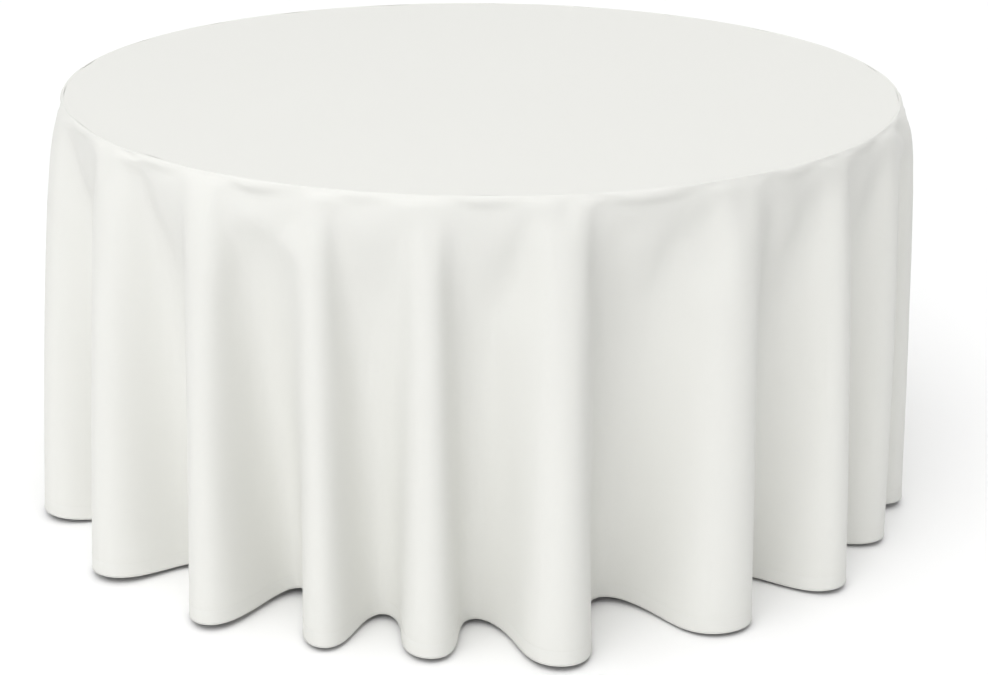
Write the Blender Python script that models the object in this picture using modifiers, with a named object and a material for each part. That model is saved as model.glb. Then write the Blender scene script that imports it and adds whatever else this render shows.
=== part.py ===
"""A round folding banquet table under a floor-length round tablecloth.

Metres, +Z up. The origin is on the floor under the middle of the table. +X runs from
leg frame "left" to leg frame "right", and -Y is the front.
"""

import math

import bmesh
import bpy
from mathutils import Matrix, Vector

# ---------------------------------------------------------------- driving dimensions
CLEARANCE = 0.0003  # between pieces that touch
RUNNING = 0.0004  # round a turning bar or pin

PANEL_RADIUS = 0.7590
PANEL_THICK = 0.0190
PANEL_TOP = 0.7600  # height of the bare table

BAND_THICK = 0.0026  # moulding round the panel's edge
BAND_EASE = 0.0018
BAND_SIDES = 96

BATTEN_WIDTH = 0.045
BATTEN_DEPTH = 0.020
BATTEN_INSET = 0.169  # from the panel's edge to a batten's end
BATTEN_SPACING = 0.260  # centre to centre

TUBE_RADIUS = 0.0125
HINGE_INSET = 0.259  # from the panel's edge to each hinge bar
LEG_SPREAD = {"left": 0.540, "right": 0.470}  # so that the folded frames nest
HINGE_BAR_OVERHANG = 0.016  # past the outside of each leg
SPREADER_RADIUS = 0.0110
SPREADER_DROP = 0.270  # below the hinge bar
FOOT_HEIGHT = 0.030
FOOT_WALL = 0.0030
FOOT_FLOOR = 0.0060

CLAMP_THICK = 0.0025
CLAMP_WIDTH = 0.030
CLAMP_TAB = 0.022

BRACE_PIVOT_X = 0.100  # from the table's middle to each brace's fixed pivot
BRACE_RISE = 0.0195  # fixed pivot above the hinge bar, and lug pivot out from the spreader
BAR_WIDTH = 0.0160
BAR_THICK = 0.0040
BAR_SPACE = 0.0080  # between the two bars of a brace, where the lug's ear passes
SIDE_PLAY = 0.0006  # between a bar and the ears either side of it
PIN_RADIUS = 0.0040
PIN_HEAD = 0.0070
PIN_HEAD_THICK = 0.0025
EAR_THICK = 0.0025
EAR_WIDTH = 0.020
BRACKET_LENGTH = 0.060
BRACKET_WIDTH = 0.046
BRACKET_SCREW_Y = 0.015

SCREW_RADIUS = 0.0021
SCREW_HEAD = 0.0045
SCREW_HEAD_THICK = 0.0022
SCREW_LENGTH = 0.015
BATTEN_SCREW_LENGTH = 0.032
BATTEN_SCREW_INSET = 0.100  # from a hinge bar to the nearest screw of a batten

CLOTH_THICK = 0.0020
CLOTH_EASE = 0.0006  # from the table's edge to the cloth
HEM_HEIGHT = 0.006  # above the floor
HEM_WIDTH = 0.025
HEM_THICK = 0.0016  # the turned-up layer inside
FOLD_STEPS = 5  # segments from a crest to the next valley
FOLD_STEEPNESS = 0.6  # 0 for a plain wave, 1 for sides that run straight out
DROP_ROWS = 6
FLARE_POWER = 1.8  # how soon a fold opens below the table's edge

# Folds of the drop at the hem: bearing of the crest in degrees from the front, positive
# towards +X, and how far it stands out from the table's edge, then the same of the valley
# after it, which stands in.
FOLDS = (
    (-71.0, 0.094, -60.8, -0.082),
    (-51.4, 0.090, -42.6, -0.097),
    (-33.2, 0.079, -26.9, -0.117),
    (-18.4, 0.057, -14.0, -0.092),
    (-5.3, 0.044, 0.0, -0.098),
    (9.5, 0.080, 18.3, -0.137),
    (31.1, 0.065, 39.8, -0.097),
    (47.5, 0.082, 55.0, -0.082),
    (62.0, 0.069, 68.5, -0.072),
    (74.0, 0.066, 82.0, -0.092),
    (91.0, 0.088, 99.0, -0.094),
    (107.0, 0.074, 114.5, -0.080),
    (122.0, 0.064, 130.5, -0.107),
    (139.0, 0.080, 147.0, -0.090),
    (155.0, 0.072, 163.0, -0.102),
    (171.0, 0.079, 179.0, -0.087),
    (187.0, 0.075, 195.5, -0.100),
    (204.0, 0.084, 212.5, -0.094),
    (221.0, 0.070, 229.0, -0.084),
    (237.0, 0.078, 245.5, -0.102),
    (254.0, 0.072, 263.0, -0.094),
    (271.0, 0.088, 278.5, -0.088),
)

# ---------------------------------------------------------------- derived dimensions
UNDERSIDE = PANEL_TOP - PANEL_THICK
HINGE_X = PANEL_RADIUS - HINGE_INSET
BATTEN_LENGTH = 2 * (PANEL_RADIUS - BATTEN_INSET)
BATTEN_FACE = UNDERSIDE - CLEARANCE - BATTEN_DEPTH
HINGE_HEIGHT = BATTEN_FACE - RUNNING - TUBE_RADIUS
TABLE_RADIUS = PANEL_RADIUS + CLEARANCE + BAND_THICK
BRACE_HEIGHT = HINGE_HEIGHT + BRACE_RISE

BRACE_REACH = HINGE_X - BRACE_PIVOT_X
BRACE_RUN = BRACE_REACH - BRACE_RISE
BRACE_FALL = SPREADER_DROP + BRACE_RISE
BRACE_LENGTH = math.hypot(BRACE_RUN, BRACE_FALL)
BRACE_ANGLE = math.atan2(BRACE_FALL, BRACE_RUN)
UPPER_BAR = (BRACE_LENGTH + BRACE_REACH - SPREADER_DROP) / 2
LOWER_BAR = BRACE_LENGTH - UPPER_BAR
LOWER_BAR_Y = BAR_THICK + BAR_SPACE  # the upper bar is on the table's centre line

COLOURS = {
    "plywood": ((0.60, 0.44, 0.27), 0.55, 0.0),
    "pine": ((0.66, 0.50, 0.31), 0.60, 0.0),
    "edge_moulding": ((0.05, 0.045, 0.04), 0.45, 0.0),
    "frame_paint": ((0.16, 0.165, 0.17), 0.40, 0.3),
    "zinc_steel": ((0.62, 0.62, 0.60), 0.32, 1.0),
    "foot_plastic": ((0.04, 0.04, 0.04), 0.50, 0.0),
    "cloth": ((0.82, 0.82, 0.80), 0.85, 0.0),
}

parts = bpy.data.collections.new("tablecloth_on_table")
cutters = bpy.data.collections.new("cutters")


def clear_scene():
    for obj in list(bpy.data.objects):
        bpy.data.objects.remove(obj)
    bpy.context.scene.collection.children.link(parts)
    bpy.context.scene.collection.children.link(cutters)


def material(name):
    found = bpy.data.materials.get(name)
    if found:
        return found
    colour, roughness, metallic = COLOURS[name]
    made = bpy.data.materials.new(name)
    made.use_nodes = True
    shader = made.node_tree.nodes["Principled BSDF"]
    shader.inputs["Base Color"].default_value = (*colour, 1.0)
    shader.inputs["Roughness"].default_value = roughness
    shader.inputs["Metallic"].default_value = metallic
    return made


def add_object(name, data, finish, parent=None, location=(0, 0, 0)):
    """One named sub-part in the parts collection."""
    obj = bpy.data.objects.new(name, data)
    parts.objects.link(obj)
    data.materials.append(material(finish))
    obj.parent = parent
    obj.location = location
    return obj


def add_pivot(name, location):
    """An empty on a joint's axis, which the moving pieces are parented to."""
    empty = bpy.data.objects.new(name, None)
    parts.objects.link(empty)
    empty.location = location
    return empty


def mesh_from(build):
    """A mesh that a function fills through bmesh, with its normals pointing out."""
    bm = bmesh.new()
    build(bm)
    bmesh.ops.recalc_face_normals(bm, faces=bm.faces)
    mesh = bpy.data.meshes.new("mesh")
    bm.to_mesh(mesh)
    bm.free()
    return mesh


def cylinder_mesh(radius, length, sides=24, axis="Z", centre=(0, 0, 0)):
    turn = {
        "X": Matrix.Rotation(math.pi / 2, 4, "Y"),
        "Y": Matrix.Rotation(-math.pi / 2, 4, "X"),
        "Z": Matrix.Identity(4),
    }[axis]

    def build(bm):
        bmesh.ops.create_cone(
            bm,
            cap_ends=True,
            segments=sides,
            radius1=radius,
            radius2=radius,
            depth=length,
            matrix=Matrix.Translation(centre) @ turn,
        )

    mesh = mesh_from(build)
    mesh.shade_smooth()
    mesh.set_sharp_from_angle(angle=math.radians(40))
    return mesh


def box_mesh(size, centre=(0, 0, 0)):
    def build(bm):
        matrix = Matrix.Translation(centre) @ Matrix.Diagonal((*size, 1))
        bmesh.ops.create_cube(bm, size=1, matrix=matrix)

    return mesh_from(build)


def bevelled(obj, width, segments=2):
    modifier = obj.modifiers.new("rounded_edges", "BEVEL")
    modifier.width = width
    modifier.segments = segments
    modifier.limit_method = "ANGLE"
    modifier.angle_limit = math.radians(50)
    return obj


def combine(obj, mesh, location=(0, 0, 0), operation="DIFFERENCE"):
    """Takes a shape placed in the object's own space out of it, or fuses it on."""
    cutter = bpy.data.objects.new("cutter_" + obj.name, mesh)
    cutters.objects.link(cutter)
    cutter.parent = obj
    cutter.location = location
    cutter.hide_render = True
    cutter.display_type = "WIRE"
    modifier = obj.modifiers.new(operation.lower(), "BOOLEAN")
    modifier.operation = operation
    modifier.solver = "EXACT"
    modifier.object = cutter


def turned_mesh(profile, sides):
    """A profile of (radius, height) points, run top to bottom outside, turned about Z."""

    def build(bm):
        points = [bm.verts.new((radius, 0, height)) for radius, height in profile]
        edges = [bm.edges.new(pair) for pair in zip(points, points[1:])]
        bmesh.ops.spin(
            bm,
            geom=points + edges,
            cent=(0, 0, 0),
            axis=(0, 0, 1),
            angle=2 * math.pi,
            steps=sides,
            use_merge=True,
        )
        bmesh.ops.remove_doubles(bm, verts=bm.verts, dist=1e-6)

    return mesh_from(build)


# ---------------------------------------------------------------- the top
def screw_mesh(length):
    """A pan-head screw that points up, with its head's flat face at the origin."""
    dome = SCREW_HEAD - 0.0015
    profile = (
        (0.0, length),
        (SCREW_RADIUS * 0.5, length - 0.001),
        (SCREW_RADIUS, length - 0.004),
        (SCREW_RADIUS, 0.0),
        (SCREW_HEAD, 0.0),
        (SCREW_HEAD, -SCREW_HEAD_THICK * 0.5),
        (dome, -SCREW_HEAD_THICK),
        (0.0, -SCREW_HEAD_THICK),
    )
    return turned_mesh(profile, 10)


def make_panel():
    panel = add_object(
        "panel",
        cylinder_mesh(PANEL_RADIUS, PANEL_THICK, sides=BAND_SIDES),
        "plywood",
        location=(0, 0, PANEL_TOP - PANEL_THICK / 2),
    )
    return panel


def make_edge_band():
    """A flat moulding with eased corners that stands round the panel."""
    inner = PANEL_RADIUS + CLEARANCE
    outer = TABLE_RADIUS
    ease = BAND_EASE
    low, high = UNDERSIDE, PANEL_TOP
    profile = (
        (inner, high),
        (outer - ease, high),
        (outer, high - ease),
        (outer, low + ease),
        (outer - ease, low),
        (inner, low),
        (inner, high),
    )
    mesh = turned_mesh(profile, BAND_SIDES)
    mesh.shade_smooth()
    mesh.set_sharp_from_angle(angle=math.radians(30))
    return add_object("edge_band", mesh, "edge_moulding")


def make_batten(name, y):
    size = (BATTEN_LENGTH, BATTEN_WIDTH, BATTEN_DEPTH)
    centre = (0, y, BATTEN_FACE + BATTEN_DEPTH / 2)
    return bevelled(add_object(name, box_mesh(size), "pine", location=centre), 0.002, 1)


def drive_screw(name, place, pieces, length):
    """A screw driven up from its seat, and its hole in each piece that it enters."""
    seat = Vector(place) - Vector((0, 0, CLEARANCE))
    start = -2 * SCREW_HEAD
    end = length + CLEARANCE
    for piece in pieces:
        hole = cylinder_mesh(
            SCREW_RADIUS + CLEARANCE, end - start, 10, centre=(0, 0, (start + end) / 2)
        )
        combine(piece, hole, seat - piece.location)
    add_object(name, screw_mesh(length), "zinc_steel", location=seat)


# ---------------------------------------------------------------- leg frames
def clamp_mesh():
    """A saddle strap: a half ring round the hinge bar with a flat tab on each side."""
    ring = TUBE_RADIUS + RUNNING
    outer = ring + CLAMP_THICK
    top = ring - CLEARANCE
    steps = 10
    outline = [(-outer - CLAMP_TAB, top), (-outer - CLAMP_TAB, top - CLAMP_THICK)]
    outline += [(-outer, top - CLAMP_THICK)]
    outline += [
        (-outer * math.cos(math.pi * i / steps), -outer * math.sin(math.pi * i / steps))
        for i in range(steps + 1)
    ]
    outline += [(outer, top - CLAMP_THICK), (outer + CLAMP_TAB, top - CLAMP_THICK)]
    outline += [(outer + CLAMP_TAB, top), (ring, top)]
    outline += [
        (ring * math.cos(math.pi * i / steps), -ring * math.sin(math.pi * i / steps))
        for i in range(steps + 1)
    ]
    outline += [(-ring, top)]

    def build(bm):
        points = [bm.verts.new((x, -CLAMP_WIDTH / 2, z)) for x, z in outline]
        face = bm.faces.new(points)
        swept = bmesh.ops.extrude_face_region(bm, geom=[face])["geom"]
        moved = [g for g in swept if isinstance(g, bmesh.types.BMVert)]
        bmesh.ops.translate(bm, verts=moved, vec=(0, CLAMP_WIDTH, 0))

    return mesh_from(build)


def make_clamps(side, x, battens):
    """Two saddle clamps on the battens, with two screws each."""
    tab = TUBE_RADIUS + RUNNING + CLAMP_THICK + CLAMP_TAB / 2
    tab_face = BATTEN_FACE - CLEARANCE - CLAMP_THICK
    for place, batten in battens.items():
        y = batten.location.y
        name = f"hinge_clamp_{side}_{place}"
        clamp = add_object(
            name, clamp_mesh(), "zinc_steel", location=(x, y, HINGE_HEIGHT)
        )
        for end, offset in (("outer", -tab), ("inner", tab)):
            drive_screw(
                f"clamp_screw_{side}_{place}_{end}",
                (x + offset, y, tab_face),
                (clamp, batten),
                SCREW_LENGTH,
            )


def foot_mesh():
    """A cup that the leg's tube stands in, with a rounded lower edge."""
    bore = TUBE_RADIUS + CLEARANCE
    outer = bore + FOOT_WALL
    profile = (
        (0.0, FOOT_FLOOR),
        (bore, FOOT_FLOOR),
        (bore, FOOT_HEIGHT),
        (outer - 0.001, FOOT_HEIGHT),
        (outer, FOOT_HEIGHT - 0.001),
        (outer, 0.003),
        (outer - 0.003, 0.0),
        (0.0, 0.0),
    )
    return turned_mesh(profile, 20)


def make_leg_frame(side, pivot, inward):
    """Two legs, the hinge bar that they hang from, a spreader with its lug, two feet."""
    half = LEG_SPREAD[side] / 2
    bar_length = 2 * (half + TUBE_RADIUS + HINGE_BAR_OVERHANG)
    add_object(
        f"hinge_bar_{side}",
        cylinder_mesh(TUBE_RADIUS, bar_length, axis="Y"),
        "frame_paint",
        pivot,
    )
    leg_top = -TUBE_RADIUS - CLEARANCE
    leg_bottom = FOOT_FLOOR + CLEARANCE - HINGE_HEIGHT
    spreader_end = half - TUBE_RADIUS - CLEARANCE
    for place, y in (("front", -half), ("back", half)):
        leg = cylinder_mesh(
            TUBE_RADIUS,
            leg_top - leg_bottom,
            centre=(0, 0, (leg_top + leg_bottom) / 2),
        )
        add_object(f"leg_{side}_{place}", leg, "frame_paint", pivot, (0, y, 0))
        foot_at = (0, y, -HINGE_HEIGHT)
        add_object(f"foot_{side}_{place}", foot_mesh(), "foot_plastic", pivot, foot_at)
    spreader = cylinder_mesh(SPREADER_RADIUS, 2 * spreader_end, axis="Y")
    at = (0, 0, -SPREADER_DROP)
    add_object(f"spreader_{side}", spreader, "frame_paint", pivot, at)
    make_lug(side, pivot, inward)


def lug_outline(inward):
    """Side view of an ear: a tongue from beside the spreader to round the lug pivot."""
    start = SPREADER_RADIUS + CLEARANCE
    half = EAR_WIDTH / 2
    steps = 8
    turn = [math.pi * (i / steps - 0.5) for i in range(steps + 1)]
    outline = [(start, -half)]
    outline += [(BRACE_RISE + half * math.cos(a), half * math.sin(a)) for a in turn]
    outline += [(start, half)]
    return [(inward * x, z) for x, z in outline]


def make_lug(side, pivot, inward):
    """Two ears welded to the spreader's middle, and the pin that the brace turns on."""
    gap = BAR_THICK + 2 * SIDE_PLAY
    y = LOWER_BAR_Y
    for place, offset in (("front", -1), ("back", 1)):
        near = y + offset * (gap + EAR_THICK) / 2
        ear = ear_mesh(lug_outline(inward))
        obj = add_object(
            f"brace_lug_{side}_{place}",
            ear,
            "frame_paint",
            pivot,
            (0, near, -SPREADER_DROP),
        )
        hole = cylinder_mesh(PIN_RADIUS + CLEARANCE, 0.02, 12, "Y")
        combine(obj, hole, (inward * BRACE_RISE, 0, 0))
    length = gap + 2 * EAR_THICK + 2 * CLEARANCE
    at = (inward * BRACE_RISE, y, -SPREADER_DROP)
    add_object(f"lug_pin_{side}", pin_mesh(length), "zinc_steel", pivot, at)


def ear_mesh(outline):
    """A flat ear cut to an outline in XZ."""

    def build(bm):
        points = [bm.verts.new((x, -EAR_THICK / 2, z)) for x, z in outline]
        face = bm.faces.new(points)
        swept = bmesh.ops.extrude_face_region(bm, geom=[face])["geom"]
        moved = [g for g in swept if isinstance(g, bmesh.types.BMVert)]
        bmesh.ops.translate(bm, verts=moved, vec=(0, EAR_THICK, 0))

    return mesh_from(build)


def pin_mesh(length):
    """A headed pin along Y, centred on the stack that it holds."""
    half = length / 2
    profile = (
        (0.0, half + PIN_HEAD_THICK),
        (PIN_HEAD * 0.7, half + PIN_HEAD_THICK),
        (PIN_HEAD, half + PIN_HEAD_THICK * 0.4),
        (PIN_HEAD, half),
        (PIN_RADIUS, half),
        (PIN_RADIUS, -half),
        (PIN_HEAD, -half),
        (PIN_HEAD, -half - PIN_HEAD_THICK * 0.4),
        (PIN_HEAD * 0.7, -half - PIN_HEAD_THICK),
        (0.0, -half - PIN_HEAD_THICK),
    )
    mesh = turned_mesh(profile, 12)
    mesh.transform(Matrix.Rotation(-math.pi / 2, 4, "X"))
    return mesh


# ---------------------------------------------------------------- braces
def bar_mesh(length):
    """A flat bar along +X from its pivot at the origin, with round ends."""
    half = BAR_WIDTH / 2
    steps = 10
    ends = []
    for centre, start in ((length, -math.pi / 2), (0.0, math.pi / 2)):
        for i in range(steps + 1):
            a = start + math.pi * i / steps
            ends.append((centre + half * math.cos(a), half * math.sin(a)))

    def build(bm):
        points = [bm.verts.new((x, -BAR_THICK / 2, z)) for x, z in ends]
        face = bm.faces.new(points)
        swept = bmesh.ops.extrude_face_region(bm, geom=[face])["geom"]
        moved = [g for g in swept if isinstance(g, bmesh.types.BMVert)]
        bmesh.ops.translate(bm, verts=moved, vec=(0, BAR_THICK, 0))

    return mesh_from(build)


def rivet_mesh(towards):
    """Half a knuckle rivet: a head outside its bar, and a shank to half way between."""
    face = BAR_THICK / 2 + CLEARANCE
    inner = -BAR_THICK / 2 - BAR_SPACE / 2 + CLEARANCE
    profile = (
        (0.0, face + PIN_HEAD_THICK),
        (PIN_HEAD * 0.7, face + PIN_HEAD_THICK),
        (PIN_HEAD, face + PIN_HEAD_THICK * 0.4),
        (PIN_HEAD, face),
        (PIN_RADIUS, face),
        (PIN_RADIUS, inner),
        (0.0, inner),
    )
    mesh = turned_mesh(profile, 12)
    mesh.transform(Matrix.Rotation(-towards * math.pi / 2, 4, "X"))
    return mesh


def make_bar(name, length, pivot, direction, y):
    """A brace bar from its pivot, with a hole at each end."""
    holder = bpy.data.objects.new(name + "_line", None)
    parts.objects.link(holder)
    holder.parent = pivot
    holder.rotation_euler = (0, direction, 0)
    holder.location = (0, y, 0)
    bar = add_object(name, bar_mesh(length), "zinc_steel", holder)
    for at in (0.0, length):
        combine(bar, cylinder_mesh(PIN_RADIUS + RUNNING, 0.02, 12, "Y"), (at, 0, 0))
    return holder


def make_brace(side, x, inward, leg_pivot):
    """A two-bar folding brace from the spreader's lug to a bracket under the table."""
    fixed = (x + inward * BRACE_REACH, 0, BRACE_HEIGHT)
    upper_pivot = add_pivot(f"brace_upper_axis_{side}", fixed)
    down_out = BRACE_ANGLE if inward < 0 else math.pi - BRACE_ANGLE
    upper = make_bar(f"brace_upper_{side}", UPPER_BAR, upper_pivot, down_out, 0.0)
    at = (UPPER_BAR, 0, 0)
    add_object(f"knuckle_rivet_front_{side}", rivet_mesh(-1), "zinc_steel", upper, at)

    lower_pivot = add_pivot(
        f"brace_lower_axis_{side}", (inward * BRACE_RISE, 0, -SPREADER_DROP)
    )
    lower_pivot.parent = leg_pivot
    up_in = -BRACE_ANGLE if inward > 0 else BRACE_ANGLE - math.pi
    lower = make_bar(f"brace_lower_{side}", LOWER_BAR, lower_pivot, up_in, LOWER_BAR_Y)
    at = (LOWER_BAR, 0, 0)
    add_object(f"knuckle_rivet_back_{side}", rivet_mesh(1), "zinc_steel", lower, at)
    make_bracket(side, fixed)


def make_bracket(side, fixed):
    """A plate under the panel with two ears that hold the upper bar's pin."""
    plate_top = UNDERSIDE - CLEARANCE
    rise = plate_top - fixed[2]
    gap = BAR_THICK + 2 * SIDE_PLAY
    half = EAR_WIDTH / 2
    steps = 8
    turn = [math.pi * (1 + i / steps) for i in range(steps + 1)]
    ear_top = rise - EAR_THICK / 2
    outline = [(half * math.cos(a), half * math.sin(a)) for a in turn]
    outline += [(half, ear_top), (-half, ear_top)]
    plate = box_mesh((BRACKET_LENGTH, BRACKET_WIDTH, EAR_THICK), (0, 0, ear_top))
    bracket = add_object(f"brace_bracket_{side}", plate, "zinc_steel", location=fixed)
    for y in (-(gap + EAR_THICK) / 2, (gap + EAR_THICK) / 2):
        combine(bracket, ear_mesh(outline), (0, y, 0), "UNION")
    combine(bracket, cylinder_mesh(PIN_RADIUS + CLEARANCE, 0.03, 12, "Y"))
    length = gap + 2 * EAR_THICK + 2 * CLEARANCE
    add_object(f"bracket_pin_{side}", pin_mesh(length), "zinc_steel", location=fixed)
    panel = bpy.data.objects["panel"]
    screw_face = plate_top - EAR_THICK
    offset = BRACKET_LENGTH / 2 - 2 * SCREW_HEAD
    for end, way in (("outer", -1), ("inner", 1)):
        name = f"bracket_screw_{side}_{end}"
        x, y = fixed[0] + way * offset, way * BRACKET_SCREW_Y
        drive_screw(name, (x, y, screw_face), (bracket, panel), SCREW_LENGTH)


# ---------------------------------------------------------------- the cloth
def hem_outline():
    """The hem from above, as (bearing, radius): round crests and valleys, steep sides."""
    turns = []
    for crest, out, valley, back in FOLDS:
        turns += [(crest, TABLE_RADIUS + out), (valley, TABLE_RADIUS + back)]
    turns.append((turns[0][0] + 360.0, turns[0][1]))
    outline = []
    for (a0, r0), (a1, r1) in zip(turns, turns[1:]):
        for i in range(FOLD_STEPS):
            share = i / FOLD_STEPS
            ease = (1 - math.cos(math.pi * share)) / 2
            swing = share + FOLD_STEEPNESS * math.sin(2 * math.pi * share) / (2 * math.pi)
            bearing = math.radians(a0 + (a1 - a0) * swing)
            outline.append((bearing, r0 + (r1 - r0) * ease))
    return outline


def fold_drop(mesh, outline):
    """Moves a turned mesh's rings below the table's edge out and in, to their folds."""
    start = UNDERSIDE - CLEARANCE
    count = len(outline)
    for vertex in mesh.vertices:
        x, y, height = vertex.co
        radius = math.hypot(x, y)
        if radius < 1e-6:
            continue
        bearing, hem_radius = outline[round(math.atan2(y, x) / math.tau * count) % count]
        share = max(0.0, (start - height) / (start - HEM_HEIGHT))
        flare = 1 - (1 - share) ** FLARE_POWER
        radius += (hem_radius - radius) * flare
        vertex.co = (radius * math.sin(bearing), -radius * math.cos(bearing), height)


def make_shell(name, profile, outline, thickness, offset):
    """A thin closed shell outside (offset 1) or inside (-1) of a folded profile."""
    mesh = turned_mesh(profile, len(outline))
    fold_drop(mesh, outline)
    shell = add_object(name, mesh, "cloth")
    if offset < 0:
        gap = shell.modifiers.new("gap", "DISPLACE")
        gap.mid_level = 0.0
        gap.strength = -CLEARANCE
    solid = shell.modifiers.new("thickness", "SOLIDIFY")
    solid.thickness = thickness
    solid.offset = offset
    solid.use_even_offset = True


def make_cloth():
    """The cloth, flat on the panel and in folds below it, and its turned-up hem."""
    outline = hem_outline()
    beside = TABLE_RADIUS + CLOTH_EASE
    flat = PANEL_TOP + CLEARANCE
    start = UNDERSIDE - CLEARANCE
    hem_top = HEM_HEIGHT + HEM_WIDTH
    profile = [(0.0, flat), (TABLE_RADIUS - BAND_EASE + CLEARANCE, flat)]
    profile += [(beside, flat - BAND_EASE)]
    for i in range(DROP_ROWS + 1):
        profile.append((beside, start + (hem_top - start) * i / DROP_ROWS))
    hem = [(beside, hem_top), (beside, HEM_HEIGHT)]
    make_shell("tablecloth", profile + hem[1:], outline, CLOTH_THICK, 1.0)
    make_shell("hem", hem, outline, HEM_THICK, -1.0)


def main():
    clear_scene()
    make_panel()
    make_edge_band()
    battens = {
        "front": make_batten("batten_front", -BATTEN_SPACING / 2),
        "back": make_batten("batten_back", BATTEN_SPACING / 2),
    }
    panel = bpy.data.objects["panel"]
    reach = HINGE_X - BATTEN_SCREW_INSET
    for end, batten in battens.items():
        for number, x in enumerate((-reach, 0.0, reach), 1):
            name = f"batten_screw_{end}_{number}"
            place = (x, batten.location.y, BATTEN_FACE)
            drive_screw(name, place, (batten, panel), BATTEN_SCREW_LENGTH)
    for side, inward in (("left", 1), ("right", -1)):
        x = -inward * HINGE_X
        pivot = add_pivot(f"leg_axis_{side}", (x, 0, HINGE_HEIGHT))
        make_leg_frame(side, pivot, inward)
        make_clamps(side, x, battens)
        make_brace(side, x, inward, pivot)
    make_cloth()


main()
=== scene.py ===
"""Looks of a round banquet table under a floor-length tablecloth.

The cloth is cut flat, laid over the table, gathered into its folds and settled by a cloth
simulation. What holds it up is a plywood table with folding legs, finished in wood, paint
and zinc.
"""

import math

import bmesh
import bpy
import numpy as np
from bpy.props import FloatProperty, FloatVectorProperty, IntProperty, PointerProperty
from mathutils import Matrix, Vector


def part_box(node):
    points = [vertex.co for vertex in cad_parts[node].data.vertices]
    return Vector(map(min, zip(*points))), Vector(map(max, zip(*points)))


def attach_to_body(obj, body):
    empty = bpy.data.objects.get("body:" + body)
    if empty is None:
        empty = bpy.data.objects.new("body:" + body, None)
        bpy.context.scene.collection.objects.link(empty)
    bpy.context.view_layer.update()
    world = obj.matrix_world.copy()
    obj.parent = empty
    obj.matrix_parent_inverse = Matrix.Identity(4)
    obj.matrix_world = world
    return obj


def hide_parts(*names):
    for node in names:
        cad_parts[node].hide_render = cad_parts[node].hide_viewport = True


bl_info = {
    "name": "Draped banquet table",
    "version": (1, 0, 0),
    "blender": (4, 5, 0),
    "location": "View3D > Sidebar > Table Linen",
    "description": "Finishes a folding table and drapes a round cloth over it",
    "category": "Object",
}

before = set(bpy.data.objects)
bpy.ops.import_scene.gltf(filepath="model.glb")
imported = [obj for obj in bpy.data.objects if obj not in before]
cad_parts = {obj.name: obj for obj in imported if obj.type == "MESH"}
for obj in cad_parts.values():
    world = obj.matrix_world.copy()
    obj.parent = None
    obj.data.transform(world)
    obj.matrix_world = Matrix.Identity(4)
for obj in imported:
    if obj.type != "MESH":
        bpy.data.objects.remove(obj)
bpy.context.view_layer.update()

BAND_LOW, BAND_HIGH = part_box("edge_band")
TABLE_RADIUS = BAND_HIGH.x
TABLE_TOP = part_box("panel")[1].z
SIDES = ("left", "right")
ENDS = ("front", "back")
PLACES = ("outer", "inner")

# Folds at the hem: bearing of the crest in degrees from the front, positive towards +X, and
# how far it stands out from the table's edge, then the same of the valley after it.
FOLDS = (
    (-71.0, 0.094, -60.8, -0.082),
    (-51.4, 0.090, -42.6, -0.097),
    (-33.2, 0.079, -26.9, -0.117),
    (-18.4, 0.057, -14.0, -0.092),
    (-5.3, 0.044, 0.0, -0.098),
    (9.5, 0.080, 18.3, -0.137),
    (31.1, 0.065, 39.8, -0.097),
    (47.5, 0.082, 55.0, -0.082),
    (62.0, 0.069, 68.5, -0.072),
    (74.0, 0.066, 82.0, -0.092),
    (91.0, 0.088, 99.0, -0.094),
    (107.0, 0.074, 114.5, -0.080),
    (122.0, 0.064, 130.5, -0.107),
    (139.0, 0.080, 147.0, -0.090),
    (155.0, 0.072, 163.0, -0.102),
    (171.0, 0.079, 179.0, -0.087),
    (187.0, 0.075, 195.5, -0.100),
    (204.0, 0.084, 212.5, -0.094),
    (221.0, 0.070, 229.0, -0.084),
    (237.0, 0.078, 245.5, -0.102),
    (254.0, 0.072, 263.0, -0.094),
    (271.0, 0.088, 278.5, -0.088),
)
EDGE_GAP = 0.0021  # from the table's edge to the middle of the cloth
EDGE_TURN = 0.004  # how round the cloth turns over the edge
CLOTH_LIFT = 0.0012  # from the table's top to the middle of the cloth
RIM_RISE = 0.4  # share kept of what the cloth lifts off the table's rim
HEM_STEEPNESS = 0.6  # how much steeper the folds' sides are at the hem
CREST_GROWTH = 0.62  # 1 for crests that stand out in proportion to depth
DART_NARROWNESS = 0.4  # how much narrower the valleys are by the table than at the hem
DROP_ROWS = 27
TOP_RINGS = (0.12, 0.36, 0.56, 0.68, 0.735, 0.752)  # radii of the rings on the top

LAYER_GAP = 0.0001  # between the cloth and its turned-up hem or its stitches
STITCH_RADIUS = 0.00028
STITCH_SHARE = 0.72  # of the pitch that a stitch shows for
BEAD_RADIUS = 0.0021
BEAD_SPACING = 0.0022

SCREW_HEAD_THICK = 0.0022
SCREW_SHANK_SHARE = 0.46  # of the head's radius
SCREWS = {
    "batten": [f"batten_screw_{e}_{n}" for e in ENDS for n in (1, 2, 3)],
    "clamp": [f"clamp_screw_{s}_{e}_{w}" for s in SIDES for e in ENDS for w in PLACES],
    "bracket": [f"bracket_screw_{s}_{w}" for s in SIDES for w in PLACES],
}

CAMERA_PLACE = (0.0, -3.299, 1.515)
CAMERA_TURN = (90 - 21.02, 0.5, -0.46)  # pitch, roll and yaw in degrees
CAMERA_LENS = 65.59


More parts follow.
